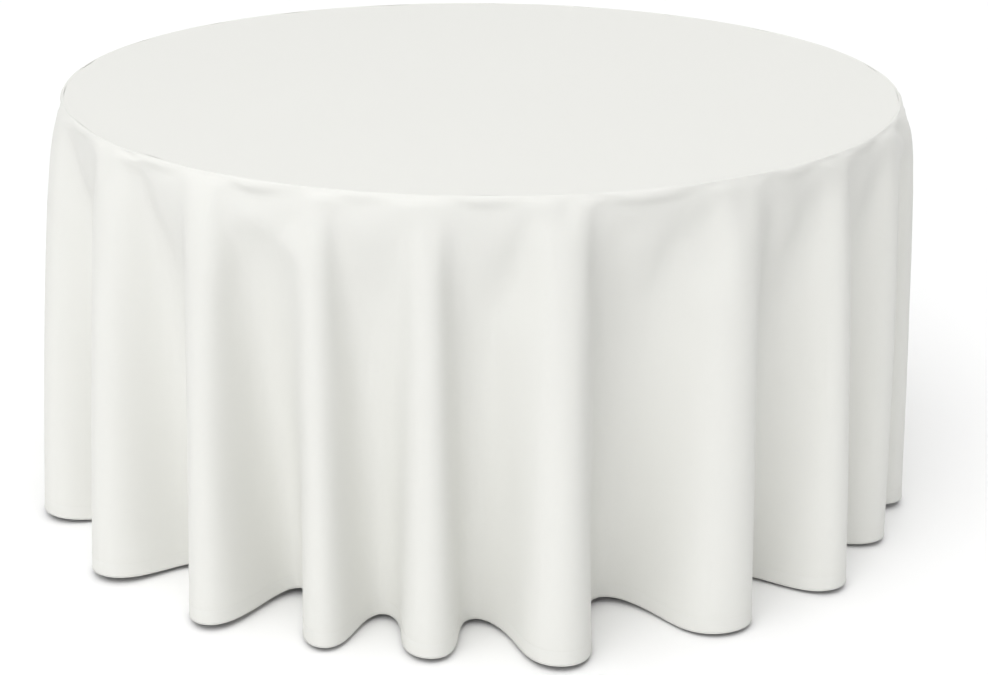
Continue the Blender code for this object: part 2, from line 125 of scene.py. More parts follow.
# ---------------------------------------------------------------- settings
class ClothSettings(bpy.types.PropertyGroup):
    diameter: FloatProperty(
        name="Diameter",
        description="Of the cloth as it was cut, flat",
        default=3.048,
        unit="LENGTH",
    )
    thickness: FloatProperty(
        name="Thickness",
        description="Of one layer of cloth",
        default=0.0007,
        unit="LENGTH",
    )
    hem_width: FloatProperty(
        name="Hem width",
        description="Of the layer turned up inside",
        default=0.025,
        unit="LENGTH",
    )
    stitch_pitch: FloatProperty(
        name="Stitch pitch",
        description="From one stitch of the hem to the next",
        default=0.0032,
        unit="LENGTH",
    )
    columns: IntProperty(
        name="Columns",
        description="Divisions round the cloth before it is smoothed",
        default=330,
    )
    settle_frames: IntProperty(
        name="Settling",
        description="Frames that the cloth is left to settle for",
        default=26,
    )
    colour: FloatVectorProperty(
        name="Cloth",
        description="Colour of the cloth",
        default=(0.775, 0.775, 0.742),
        subtype="COLOR",
    )
    thread_colour: FloatVectorProperty(
        name="Thread",
        description="Colour of the hem's stitches",
        default=(0.78, 0.78, 0.74),
        subtype="COLOR",
    )


class TableSettings(bpy.types.PropertyGroup):
    plywood: FloatVectorProperty(
        name="Plywood",
        description="Colour of the panel's face veneer",
        default=(0.50, 0.33, 0.18),
        subtype="COLOR",
    )
    pine: FloatVectorProperty(
        name="Battens",
        description="Colour of the softwood battens",
        default=(0.60, 0.43, 0.24),
        subtype="COLOR",
    )
    paint: FloatVectorProperty(
        name="Frame paint",
        description="Colour of the leg frames",
        default=(0.055, 0.058, 0.062),
        subtype="COLOR",
    )
    moulding: FloatVectorProperty(
        name="Edge moulding",
        description="Colour of the moulding round the panel",
        default=(0.035, 0.030, 0.026),
        subtype="COLOR",
    )


class StageSettings(bpy.types.PropertyGroup):
    floor: FloatVectorProperty(
        name="Floor",
        description="Colour of the floor",
        default=(0.955, 0.955, 0.955),
        subtype="COLOR",
    )


# ---------------------------------------------------------------- shader helpers
def group_tree(name, inputs, outputs):
    """A shader node group with its inputs, as (name, type, default), and outputs."""
    tree = bpy.data.node_groups.new(name, "ShaderNodeTree")
    for label, kind, default in inputs:
        socket = tree.interface.new_socket(label, in_out="INPUT", socket_type=kind)
        if default is not None:
            socket.default_value = default
    for label, kind in outputs:
        tree.interface.new_socket(label, in_out="OUTPUT", socket_type=kind)
    given = tree.nodes.new("NodeGroupInput")
    result = tree.nodes.new("NodeGroupOutput")
    return tree, given.outputs, result.inputs


def put(tree, kind, settings=(), **links):
    """A node with its settings, and its inputs given as values or other sockets."""
    node = tree.nodes.new(kind)
    for key, value in dict(settings).items():
        setattr(node, key, value)
    for key, value in links.items():
        slot = int(key[1:]) if key[0] == "i" and key[1:].isdigit() else key
        socket = node.inputs[slot.replace("_", " ") if isinstance(slot, str) else slot]
        if isinstance(value, bpy.types.NodeSocket):
            tree.links.new(value, socket)
        else:
            socket.default_value = value
    return node


def maths(tree, operation, *values):
    node = tree.nodes.new("ShaderNodeMath")
    node.operation = operation
    for socket, value in zip(node.inputs, values):
        if isinstance(value, bpy.types.NodeSocket):
            tree.links.new(value, socket)
        else:
            socket.default_value = value
    return node.outputs[0]


def spread(tree, value, low, high, to_low, to_high):
    """A value's range low..high stretched to to_low..to_high."""
    node = put(tree, "ShaderNodeMapRange", i0=value, i1=low, i2=high)
    node.inputs[3].default_value = to_low
    node.inputs[4].default_value = to_high
    return node.outputs[0]


def mix_colour(tree, share, first, second, blend="MIX"):
    node = tree.nodes.new("ShaderNodeMix")
    node.data_type = "RGBA"
    node.blend_type = blend
    for slot, value in ((0, share), (6, first), (7, second)):
        attach(tree, node.inputs[slot], value)
    return node.outputs[2]


def attach(tree, socket, value):
    if isinstance(value, bpy.types.NodeSocket):
        tree.links.new(value, socket)
    else:
        size = len(socket.default_value) if hasattr(socket.default_value, "__len__") else 0
        socket.default_value = (*value, 1.0)[:size] if size else value


def stretched(tree, vector, scale):
    return put(tree, "ShaderNodeMapping", Vector=vector, Scale=scale).outputs[0]


def noise(tree, vector, scale, detail=3.0, roughness=0.5):
    node = put(tree, "ShaderNodeTexNoise", Vector=vector)
    node.inputs["Scale"].default_value = scale
    node.inputs["Detail"].default_value = detail
    node.inputs["Roughness"].default_value = roughness
    return node.outputs["Fac"]


def woven_threads():
    """Height and shade of a plain weave whose threads run along U and V, in metres."""
    tree, given, result = group_tree(
        "woven_threads",
        (
            ("Vector", "NodeSocketVector", None),
            ("Threads per metre", "NodeSocketFloat", 1500.0),
            ("Slub", "NodeSocketFloat", 0.35),
        ),
        (("Height", "NodeSocketFloat"), ("Shade", "NodeSocketFloat")),
    )
    split = put(tree, "ShaderNodeSeparateXYZ", Vector=given["Vector"]).outputs
    waves = []
    for axis in (0, 1):
        turns = maths(tree, "MULTIPLY", split[axis], given["Threads per metre"])
        waves.append(maths(tree, "SINE", maths(tree, "MULTIPLY", turns, math.pi)))
    over = maths(tree, "MULTIPLY", waves[0], waves[1])
    along = noise(tree, stretched(tree, given["Vector"], (420, 9, 1)), 1.0, 2.0)
    across = noise(tree, stretched(tree, given["Vector"], (9, 420, 1)), 1.0, 2.0)
    slub = maths(tree, "ADD", maths(tree, "SUBTRACT", along, 0.5), across)
    slub = maths(tree, "MULTIPLY", maths(tree, "SUBTRACT", slub, 0.5), given["Slub"])
    height = maths(tree, "ADD", maths(tree, "MULTIPLY", over, 0.5), slub)
    tree.links.new(height, result["Height"])
    tree.links.new(spread(tree, height, -1.0, 1.0, 0.0, 1.0), result["Shade"])
    return tree


def fine_marks():
    """Fine scratches, handling marks and dust as one mask between 0 and 1."""
    tree, given, result = group_tree(
        "fine_marks",
        (
            ("Vector", "NodeSocketVector", None),
            ("Scale", "NodeSocketFloat", 30.0),
            ("Amount", "NodeSocketFloat", 0.5),
        ),
        (("Mask", "NodeSocketFloat"),),
    )
    patches = put(tree, "ShaderNodeTexNoise", Vector=given["Vector"], Scale=given["Scale"])
    patches.inputs["Detail"].default_value = 6.0
    lines = noise(tree, stretched(tree, given["Vector"], (300, 30, 300)), 1.0, 4.0, 0.6)
    worn = spread(tree, patches.outputs["Fac"], 0.52, 0.72, 0.0, 1.0)
    scratched = spread(tree, lines, 0.60, 0.70, 0.0, 1.0)
    both = maths(tree, "MAXIMUM", worn, maths(tree, "MULTIPLY", scratched, 0.6))
    tree.links.new(maths(tree, "MULTIPLY", both, given["Amount"]), result["Mask"])
    return tree


def wood_grain():
    """Growth rings drawn out along X, with pores, as a colour share and a height."""
    tree, given, result = group_tree(
        "wood_grain",
        (
            ("Vector", "NodeSocketVector", None),
            ("Ring scale", "NodeSocketFloat", 16.0),
            ("Pores", "NodeSocketFloat", 0.5),
        ),
        (("Grain", "NodeSocketFloat"), ("Height", "NodeSocketFloat")),
    )
    drawn = stretched(tree, given["Vector"], (0.5, 6.0, 6.0))
    bend = noise(tree, drawn, 1.1, 3.0)
    rings = maths(tree, "MULTIPLY", bend, given["Ring scale"])
    rings = maths(tree, "FRACT", rings)
    late = maths(tree, "POWER", rings, 2.5)
    pores = noise(tree, stretched(tree, given["Vector"], (30, 900, 900)), 1.0, 3.0, 0.7)
    pores = spread(tree, pores, 0.55, 0.75, 0.0, 1.0)
    pores = maths(tree, "MULTIPLY", pores, given["Pores"])
    grain = maths(tree, "ADD", maths(tree, "MULTIPLY", late, 0.6), pores)
    tree.links.new(maths(tree, "MINIMUM", grain, 1.0), result["Grain"])
    tree.links.new(maths(tree, "SUBTRACT", 1.0, grain), result["Height"])
    return tree


def grouped(tree, name, maker, **values):
    """A group's node in a material. The group itself is made once."""
    node = tree.nodes.new("ShaderNodeGroup")
    node.node_tree = bpy.data.node_groups.get(name) or maker()
    for key, value in values.items():
        attach(tree, node.inputs[key.replace("_", " ")], value)
    return node.outputs


def start_material(name, roughness, **constants):
    """A new material: its tree, its Principled shader and its Object coordinates."""
    material = bpy.data.materials.new(name)
    material.use_nodes = True
    tree = material.node_tree
    shader = tree.nodes["Principled BSDF"]
    shader.inputs["Roughness"].default_value = roughness
    for key, value in constants.items():
        shader.inputs[key.replace("_", " ")].default_value = value
    place = tree.nodes.new("ShaderNodeTexCoord").outputs["Object"]
    return material, tree, shader.inputs, place


def raise_surface(tree, inputs, height, distance, strength=1.0):
    bump = put(tree, "ShaderNodeBump", Height=height)
    bump.inputs["Distance"].default_value = distance
    bump.inputs["Strength"].default_value = strength
    tree.links.new(bump.outputs[0], inputs["Normal"])


def shade(colour, factor):
    return tuple(min(1.0, channel * factor) for channel in colour)


def cloth_material(colour):
    """Smooth plain-woven polyester with a soft sheen."""
    material, tree, inputs, _ = start_material(
        "cloth", 0.78, Sheen_Weight=0.12, Sheen_Roughness=0.4, Specular_IOR_Level=0.3
    )
    flat = put(tree, "ShaderNodeUVMap", {"uv_map": "flat_cloth"}).outputs[0]
    weave = grouped(tree, "woven_threads", woven_threads, Vector=flat)
    patches = noise(tree, flat, 2.2, 3.0)
    light = mix_colour(tree, weave["Shade"], shade(colour, 0.975), shade(colour, 1.015))
    share = spread(tree, patches, 0.35, 0.65, 0.0, 0.35)
    toned = mix_colour(tree, share, light, shade(colour, 0.985))
    tree.links.new(toned, inputs["Base Color"])
    rough = spread(tree, weave["Shade"], 0.0, 1.0, 0.84, 0.74)
    tree.links.new(rough, inputs["Roughness"])
    raise_surface(tree, inputs, weave["Height"], 0.00012, 0.5)
    return material


def thread_material(colour):
    """Twisted sewing thread, its strands running round each stitch, darker between them as
    painted shade.
    """
    material, tree, inputs, place = start_material("hem_thread", 0.6, Sheen_Weight=0.2)
    ply_relief_and_shade = noise(tree, place, 2600.0, 2.0)
    # Painted shade in the noise's low spots and a slight painted highlight on its high ones, from
    # the same noise as the bump.
    tree.links.new(
        mix_colour(tree, ply_relief_and_shade, shade(colour, 0.82), shade(colour, 1.05)),
        inputs["Base Color"],
    )
    raise_surface(tree, inputs, ply_relief_and_shade, 0.0001)
    return material


def wood_material(name, colour, rings, pores, gloss):
    """Sealed wood, grain along X, with handling marks in the lacquer."""
    material, tree, inputs, place = start_material(name, gloss, Coat_Weight=0.15)
    grain = grouped(
        tree, "wood_grain", wood_grain, Vector=place, Ring_scale=rings, Pores=pores
    )
    marks = grouped(
        tree, "fine_marks", fine_marks, Vector=place, Scale=9.0, Amount=0.35
    )
    wood = mix_colour(tree, grain["Grain"], shade(colour, 1.18), shade(colour, 0.62))
    tone = noise(tree, stretched(tree, place, (1.2, 7.0, 7.0)), 1.0, 2.0)
    wood = mix_colour(tree, spread(tree, tone, 0.3, 0.7, 0.0, 0.5), wood, shade(colour, 0.8))
    worn = mix_colour(tree, marks["Mask"], wood, shade(colour, 1.35))
    tree.links.new(worn, inputs["Base Color"])
    rough = maths(tree, "ADD", maths(tree, "MULTIPLY", marks["Mask"], 0.3), gloss)
    tree.links.new(rough, inputs["Roughness"])
    raise_surface(tree, inputs, grain["Height"], 0.0002, 0.6)
    return material


def paint_material(name, colour):
    """Powder coat: orange peel, chips down to steel and scuffs."""
    material, tree, inputs, place = start_material(name, 0.38)
    marks = grouped(
        tree, "fine_marks", fine_marks, Vector=place, Scale=14.0, Amount=0.55
    )
    peel = noise(tree, place, 900.0, 2.0)
    chips = spread(tree, noise(tree, place, 160.0, 5.0, 0.65), 0.665, 0.68, 0.0, 1.0)
    scuffed = mix_colour(tree, marks["Mask"], colour, shade(colour, 2.6))
    tree.links.new(mix_colour(tree, chips, scuffed, (0.33, 0.32, 0.30)), inputs["Base Color"])
    rough = maths(tree, "ADD", maths(tree, "MULTIPLY", marks["Mask"], 0.25), 0.36)
    tree.links.new(rough, inputs["Roughness"])
    tree.links.new(maths(tree, "MULTIPLY", chips, 0.8), inputs["Metallic"])
    height = maths(tree, "SUBTRACT", maths(tree, "MULTIPLY", peel, 0.5), chips)
    raise_surface(tree, inputs, height, 0.00015)
    return material


def zinc_material(name):
    """Zinc plate with a faint spangle, dulled where it is handled."""
    material, tree, inputs, place = start_material(name, 0.3, Metallic=1.0)
    spangle = put(tree, "ShaderNodeTexVoronoi", Vector=place)
    spangle.inputs["Scale"].default_value = 330.0
    tone = put(tree, "ShaderNodeSeparateColor", Color=spangle.outputs["Color"]).outputs[0]
    marks = grouped(
        tree, "fine_marks", fine_marks, Vector=place, Scale=40.0, Amount=0.7
    )
    bright = mix_colour(tree, tone, (0.56, 0.57, 0.57), (0.70, 0.70, 0.68))
    tree.links.new(
        mix_colour(tree, marks["Mask"], bright, (0.42, 0.41, 0.38)), inputs["Base Color"]
    )
    rough = maths(tree, "ADD", maths(tree, "MULTIPLY", marks["Mask"], 0.3), 0.26)
    rough = maths(tree, "ADD", rough, maths(tree, "MULTIPLY", tone, 0.08))
    tree.links.new(rough, inputs["Roughness"])
    raise_surface(tree, inputs, noise(tree, place, 700.0, 3.0), 0.0001, 0.6)
    return material


def plastic_material(name, colour, roughness, grain_scale):
    """Moulded plastic with a fine texture and pale scuffs."""
    material, tree, inputs, place = start_material(name, roughness)
    marks = grouped(
        tree, "fine_marks", fine_marks, Vector=place, Scale=25.0, Amount=0.5
    )
    tree.links.new(
        mix_colour(tree, marks["Mask"], colour, shade(colour, 2.4)), inputs["Base Color"]
    )
    rough = maths(tree, "ADD", maths(tree, "MULTIPLY", marks["Mask"], 0.2), roughness)
    tree.links.new(rough, inputs["Roughness"])
    raise_surface(tree, inputs, noise(tree, place, grain_scale, 2.0), 0.0001, 0.7)
    return material


def weld_material(paint):
    """Painted weld: the same paint, with painted highlight and shade on the bead's ripples."""
    material, tree, inputs, place = start_material("weld_paint", 0.42)
    ripple_and_highlight = noise(tree, place, 420.0, 3.0)
    # Painted highlight where the ripples rise and painted shade where they sink, from the same
    # noise as the bump.
    tree.links.new(
        mix_colour(tree, ripple_and_highlight, shade(paint, 0.8), shade(paint, 1.6)), inputs["Base Color"]
    )
    raise_surface(tree, inputs, ripple_and_highlight, 0.0004)
    return material


# ---------------------------------------------------------------- object helpers
def add_piece(name, mesh, material=None):
    piece = bpy.data.objects.new(name, mesh)
    bpy.context.scene.collection.objects.link(piece)
    if material:
        mesh.materials.clear()
        mesh.materials.append(material)
    return piece


def baked(piece):
    """The piece's mesh with its modifiers applied, in place of what it had."""
    graph = bpy.context.evaluated_depsgraph_get()
    mesh = bpy.data.meshes.new_from_object(piece.evaluated_get(graph))
    piece.modifiers.clear()
    old, piece.data = piece.data, mesh
    bpy.data.meshes.remove(old)
    return piece


def finish_node(name, material):
    """Gives a CAD node its material, in every slot."""
    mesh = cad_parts[name].data
    if not mesh.materials:
        mesh.materials.append(material)
    for index in range(len(mesh.materials)):
        mesh.materials[index] = material


# ---------------------------------------------------------------- the cloth's shape
def landmarks():
    """Every crest and valley at the hem in turn, as (bearing in radians, reach)."""
    turns = []
    for crest, out, valley, back in FOLDS:
        turns += [(math.radians(crest), out), (math.radians(valley), back)]
    return np.array(turns)


def ring_curve(turns, share, sink, per_side=24):
    """A closed plan curve through the folds at a share of the drop.

    Crests stand out with depth. Valleys sink in by the share given, and are narrow near
    the table, where each one starts as a dart.
    """
    edge = TABLE_RADIUS + EDGE_GAP
    bearings = np.append(turns[:, 0], turns[0, 0] + math.tau)
    reach = np.append(turns[:, 1], turns[0, 1])
    reach = np.where(reach > 0, reach * share**CREST_GROWTH, reach * sink)
    t = np.arange(per_side) / per_side
    swing = t + HEM_STEEPNESS * share * np.sin(math.tau * t) / math.tau
    narrow = 1.08 + DART_NARROWNESS * math.exp(-share / 0.25)
    out_in = ((1 - np.cos(np.pi * t)) / 2) ** narrow
    in_out = 1 - ((1 + np.cos(np.pi * t)) / 2) ** narrow
    from_crest = np.arange(len(turns)) % 2 == 0
    ease = np.where(from_crest[:, None], out_in, in_out)
    b = bearings[:-1, None] + np.diff(bearings)[:, None] * swing
    r = edge + reach[:-1, None] + np.diff(reach)[:, None] * ease
    return b.ravel(), r.ravel()


def plan(bearing, radius):
    return np.stack([radius * np.sin(bearing), -radius * np.cos(bearing)], axis=-1)


def ring_at(turns, depth, drop, columns):
    """Plan points of the ring at a depth below the edge.

    Its valleys sink in until the ring is as long as it was cut.
    """
    length = math.tau * (TABLE_RADIUS + EDGE_GAP + depth)
    low, high = 0.0, 1.6
    for _ in range(24):
        sink = (low + high) / 2
        points = plan(*ring_curve(turns, depth / drop, sink))
        steps = np.linalg.norm(np.roll(points, -1, 0) - points, axis=1)
        low, high = (sink, high) if steps.sum() < length else (low, sink)
    bearing, radius = ring_curve(turns, depth / drop, sink)
    along = np.concatenate([[0.0], np.cumsum(steps)])
    share = along / along[-1]
    bearing = np.append(bearing, bearing[0] + math.tau)
    radius = np.append(radius, radius[0])
    start = (bearing[:-1] - math.tau * share[:-1]).mean()
    cut = (np.arange(columns) / columns - (start % math.tau) / math.tau) % 1.0
    return plan(np.interp(cut, share, bearing), np.interp(cut, share, radius))


def drop_depths(drop, hem_width):
    """Depths of the drop's rows: close together under the edge, two for the hem."""
    share = np.linspace(0, 1, DROP_ROWS) ** 1.25
    body = share * (drop - hem_width)
    return list(body) + [drop - hem_width / 2, drop]


def draped_rings(settings):
    """The cloth's middle surface laid over the table and gathered into its folds.

    Returns the rings' points, indexed by ring and column, and each ring's radius as cut.
    """
    columns = settings.columns
    angle = math.tau * np.arange(columns) / columns
    edge = TABLE_RADIUS + EDGE_GAP
    top = TABLE_TOP + CLOTH_LIFT
    drop = settings.diameter / 2 - edge
    turns = landmarks()
    rings, cuts = [], []
    for radius in TOP_RINGS:
        ring = plan(angle, radius)
        rings.append(np.column_stack([ring, np.full(columns, top)]))
        cuts.append(radius)
    arc = EDGE_TURN * math.pi / 2
    straight = 2 * EDGE_TURN - arc  # what the rounded corner saves on a square one
    for turn in (0.0, 0.5):
        a = turn * math.pi / 2
        ring = plan(angle, edge - EDGE_TURN * (1 - math.sin(a)))
        height = top - EDGE_TURN * (1 - math.cos(a))
        rings.append(np.column_stack([ring, np.full(columns, height)]))
        cuts.append(edge - 2 * EDGE_TURN + straight + arc * turn)
    previous = None
    for depth in drop_depths(drop - EDGE_TURN, settings.hem_width):
        ring = ring_at(turns, depth, drop - EDGE_TURN, columns)
        cut = edge - 2 * EDGE_TURN + straight + arc + depth
        if previous is None:
            height = np.full(columns, top - EDGE_TURN)
        else:
            step = cut - cuts[-1]
            moved = np.linalg.norm(ring - previous[:, :2], axis=1)
            fall = np.sqrt(np.maximum(step**2 - moved**2, (0.3 * step) ** 2))
            height = previous[:, 2] - fall
        previous = np.column_stack([ring, height])
        rings.append(previous)
        cuts.append(cut)
    return np.array(rings), np.array(cuts)


def polar_mesh(name, rings, cuts):
    """Rings of points joined round a hub, with their flat cut as a UV map in metres."""
    rows, columns = rings.shape[:2]
    angle = math.tau * np.arange(columns) / columns
    hub = [0.0, 0.0, rings[0, :, 2].mean()]
    points = np.concatenate([[hub], rings.reshape(-1, 3)])
    flat = np.concatenate([[[0, 0]], *(plan(angle, cut) for cut in cuts)])
    after = np.roll(np.arange(columns), -1)
    faces = [(0, 1 + i, 1 + after[i]) for i in range(columns)]
    for row in range(rows - 1):
        near, far = 1 + row * columns, 1 + (row + 1) * columns
        faces += [
            (near + i, far + i, far + after[i], near + after[i]) for i in range(columns)
        ]
    mesh = bpy.data.meshes.new(name)
    mesh.from_pydata(points.tolist(), [], faces)
    layer = mesh.uv_layers.new(name="flat_cloth")
    corners = np.empty(len(mesh.loops), np.int32)
    mesh.loops.foreach_get("vertex_index", corners)
    layer.data.foreach_set("uv", flat[corners].astype(np.float32).ravel())
    mesh.shade_smooth()
    mesh.update()
    return mesh, flat


def curved(values, at, wanted):
    """Values at other places along the first axis, by smooth curves through them."""
    slopes = np.gradient(values, at, axis=0)
    index = np.clip(np.searchsorted(at, wanted, side="right") - 1, 0, len(at) - 2)
    width = (at[index + 1] - at[index])[:, None, None]
    t = ((wanted - at[index]) / width[:, 0, 0])[:, None, None]
    start, end = values[index], values[index + 1]
    rise = start * (1 + 2 * t) * (1 - t) ** 2 + end * t * t * (3 - 2 * t)
    return rise + width * (slopes[index] * t * (1 - t) ** 2 - slopes[index + 1] * t * t * (1 - t))


def refined(rings, cuts, settings):
    """The rings smoothed a little, with twice the columns and close rows at the hem."""
    eased = rings.copy()
    beside = np.roll(rings, 1, 1) + np.roll(rings, -1, 1)
    eased[len(TOP_RINGS) :] = (0.5 * rings + 0.25 * beside)[len(TOP_RINGS) :]
    drop = slice(len(TOP_RINGS) + 4, -1)
    above = slice(len(TOP_RINGS) + 3, -2)
    below = slice(len(TOP_RINGS) + 5, None)
    smooth = eased.copy()
    smooth[drop] = 0.6 * eased[drop] + 0.2 * (eased[above] + eased[below])
    hem_top = cuts[-1] - settings.hem_width
    body = cuts[cuts < hem_top + 1e-6]
    first = len(TOP_RINGS) - 1
    middles = (body[first:-1] + body[first + 1 :]) / 2
    hem = np.linspace(hem_top, cuts[-1], 9)[1:]
    wanted = np.sort(np.concatenate([body, middles, hem]))
    rows = curved(smooth, cuts, wanted)
    flat = rings[0, 0, 2]
    rows[wanted < cuts[first + 1], :, 2] = flat
    rise = rows[..., 2] - flat
    rows[..., 2] = flat + np.where(rise > 0, rise * RIM_RISE, rise)
    count = rows.shape[1]
    wrapped = np.concatenate([rows[:, -3:], rows, rows[:, :4]], axis=1).transpose(1, 0, 2)
    places = np.arange(2 * count) / 2
    columns = curved(wrapped, np.arange(-3.0, count + 4), places)
    return columns.transpose(1, 0, 2), wanted


def outward(rings):
    """Unit normals of the cloth at every point of its rings, facing out."""
    along = np.roll(rings, -1, 1) - np.roll(rings, 1, 1)
    down = np.gradient(rings, axis=0)
    normals = np.cross(down, along)
    return normals / np.linalg.norm(normals, axis=2, keepdims=True)


def stand_in_table():
    """What the cloth falls on while it settles: the covered edge of the table."""
    bm = bmesh.new()
    height = TABLE_TOP - BAND_LOW.z
    bmesh.ops.create_cone(
        bm,
        cap_ends=True,
        segments=180,
        radius1=TABLE_RADIUS,
        radius2=TABLE_RADIUS,
        depth=height,
        matrix=Matrix.Translation((0, 0, TABLE_TOP - height / 2)),
    )
    mesh = bpy.data.meshes.new("stand_in")
    bm.to_mesh(mesh)
    bm.free()
    block = bpy.data.objects.new("stand_in", mesh)
    bpy.context.scene.collection.objects.link(block)
    block.modifiers.new("collision", "COLLISION")
    block.collision.thickness_outer = 0.001
    block.collision.cloth_friction = 8.0
    return block


def settle(piece, flat, frames):
    """Lets the cloth hang and settle over the table's edge. Returns its points."""
    mesh = piece.data
    height = TABLE_TOP + CLOTH_LIFT
    piece.shape_key_add(name="hung")
    rest = piece.shape_key_add(name="cut")
    rest_points = np.column_stack([flat, np.full(len(flat), height)])
    rest.data.foreach_set("co", rest_points.astype(np.float32).ravel())
    rest.value = 0.0
    held = piece.vertex_groups.new(name="held")
    inner = np.hypot(*flat.T) < TABLE_RADIUS - EDGE_TURN
    held.add(np.flatnonzero(inner).tolist(), 1.0, "REPLACE")
    cloth = piece.modifiers.new("settling", "CLOTH")
    physics = cloth.settings
    physics.quality = 7
    physics.mass = 0.004
    physics.tension_stiffness = physics.compression_stiffness = 60.0
    physics.shear_stiffness = 12.0
    physics.bending_stiffness = 0.02
    physics.tension_damping = physics.compression_damping = physics.shear_damping = 8.0
    physics.bending_damping = 0.5
    physics.air_damping = 2.0
    physics.vertex_group_mass = "held"
    physics.rest_shape_key = rest
    cloth.collision_settings.distance_min = 0.001
    cloth.collision_settings.collision_quality = 3
    cloth.collision_settings.use_self_collision = False
    cloth.point_cache.frame_start = 1
    cloth.point_cache.frame_end = frames
    block = stand_in_table()
    scene = bpy.context.scene
    for number in range(1, frames + 1):
        scene.frame_set(number)
    graph = bpy.context.evaluated_depsgraph_get()
    points = np.empty(len(mesh.vertices) * 3, np.float32)
    shown = piece.evaluated_get(graph)
    shown.data.vertices.foreach_get("co", points)
    piece.modifiers.clear()
    piece.shape_key_clear()
    piece.vertex_groups.clear()
    data = block.data
    bpy.data.objects.remove(block)
    bpy.data.meshes.remove(data)
    scene.frame_set(1)
    return points.reshape(-1, 3).astype(float)


class LINEN_OT_cloth(bpy.types.Operator):
    """Drapes the cloth over the table, with its hem turned up and stitched"""

    bl_idname = "linen.cloth"
    bl_label = "Drape the cloth"

    def execute(self, context):
        settings = context.scene.linen_cloth
        rings, cuts = draped_rings(settings)
        mesh, flat = polar_mesh("hung_cloth", rings, cuts)
        hung = add_piece("hung_cloth", mesh)
        points = settle(hung, flat, settings.settle_frames)
        rings = points[1:].reshape(rings.shape)
        bpy.data.objects.remove(hung)
        bpy.data.meshes.remove(mesh)
        rings, cuts = refined(rings, cuts, settings)
        material = cloth_material(settings.colour)
        cloth = add_piece("draped_cloth", polar_mesh("draped_cloth", rings, cuts)[0], material)
        solid = cloth.modifiers.new("thickness", "SOLIDIFY")
        solid.thickness = settings.thickness
        solid.offset = 0.0
        baked(cloth)
        hem, line = hem_pieces(rings, cuts, settings, material)
        stitches = stitch_piece(line, settings)
        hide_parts("tablecloth")
        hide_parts("hem")
        for piece in (cloth, hem, stitches):
            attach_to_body(piece, "table")
        return {"FINISHED"}


def swept_mesh(name, loops):
    """A closed band from equal closed loops of points, each joined to the next."""
    count, sides = loops.shape[:2]
    index = np.arange(count * sides).reshape(count, sides)
    across, along = np.roll(index, -1, 1), np.roll(index, -1, 0)
    both = np.roll(across, -1, 0)
    faces = np.stack([index, across, both, along], axis=-1).reshape(-1, 4)
    mesh = bpy.data.meshes.new(name)
    mesh.from_pydata(loops.reshape(-1, 3).tolist(), [], faces.tolist())
    bm = bmesh.new()
    bm.from_mesh(mesh)
    bmesh.ops.recalc_face_normals(bm, faces=bm.faces)
    bm.to_mesh(mesh)
    bm.free()
    mesh.shade_smooth()
    return mesh


def hem_pieces(rings, cuts, settings, material):
    """The turned-up layer with its rolled lower edge, and the line of its stitches."""
    rows = np.flatnonzero(cuts > cuts[-1] - settings.hem_width - 1e-6)[::-1]
    points, normals = rings[rows], outward(rings)[rows]
    half = settings.thickness / 2
    inner, outer = half + LAYER_GAP, half + LAYER_GAP + settings.thickness
    down = points[0] - points[1]
    down /= np.linalg.norm(down, axis=1, keepdims=True)
    profile = [points[row] - normals[row] * inner for row in range(len(points) - 1, -1, -1)]
    for turn in np.linspace(0, math.pi, 7)[1:-1]:
        out, low = -math.cos(turn) * inner, math.sin(turn) * inner
        profile.append(points[0] + normals[0] * out + down * low)
    profile.append(points[0] + normals[0] * inner)
    lip = settings.thickness * 1.2
    profile.append(points[0] + normals[0] * inner - down * lip)
    profile.append(points[0] + normals[0] * (outer * 0.8) - down * lip * 0.7)
    profile.append(points[0] + normals[0] * outer * 0.97)
    for turn in np.linspace(math.pi, 0, 9)[1:-1]:
        out, low = -math.cos(turn) * outer, math.sin(turn) * outer
        profile.append(points[0] + normals[0] * out + down * low)
    profile += [points[row] - normals[row] * outer for row in range(len(points))]
    loops = np.array(profile).transpose(1, 0, 2)
    hem = add_piece("rolled_hem", swept_mesh("rolled_hem", loops), material)
    stitch_row = len(points) - 2
    line = points[stitch_row] + normals[stitch_row] * (half + LAYER_GAP)
    return hem, line


